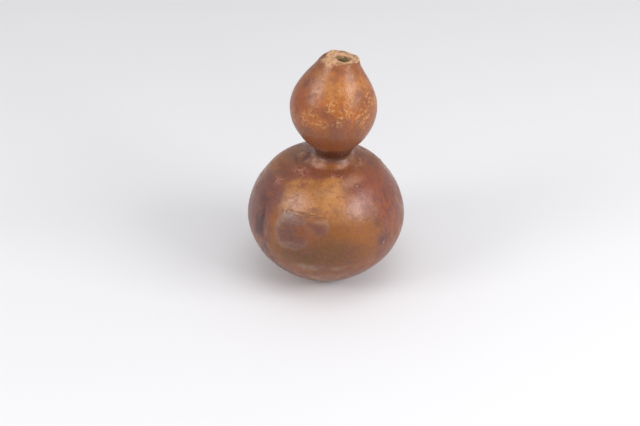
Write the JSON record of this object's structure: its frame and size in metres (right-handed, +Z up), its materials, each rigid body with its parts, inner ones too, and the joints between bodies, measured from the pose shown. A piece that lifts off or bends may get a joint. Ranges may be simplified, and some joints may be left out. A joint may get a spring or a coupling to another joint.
{
  "type": "dried bottle gourd",
  "caption": "Dried bottle gourd with a round lower lobe, a narrow waist and a smaller pear-shaped upper lobe, hollow, its stem end cut off to leave a small open mouth.",
  "frame": {"origin": "on the surface that the gourd stands on, under the middle of the lower lobe", "axes": "+Z up through both lobes, +X to the side that the cut stem leans to, -Y to the side with the light patch"},
  "size_m": [0.1108, 0.1092, 0.1739],
  "materials": {
    "rind": "satin, dried and polished by handling"
  },
  "bodies": {
    "root": {"gourd": "rind"}
  },
  "joints": []
}
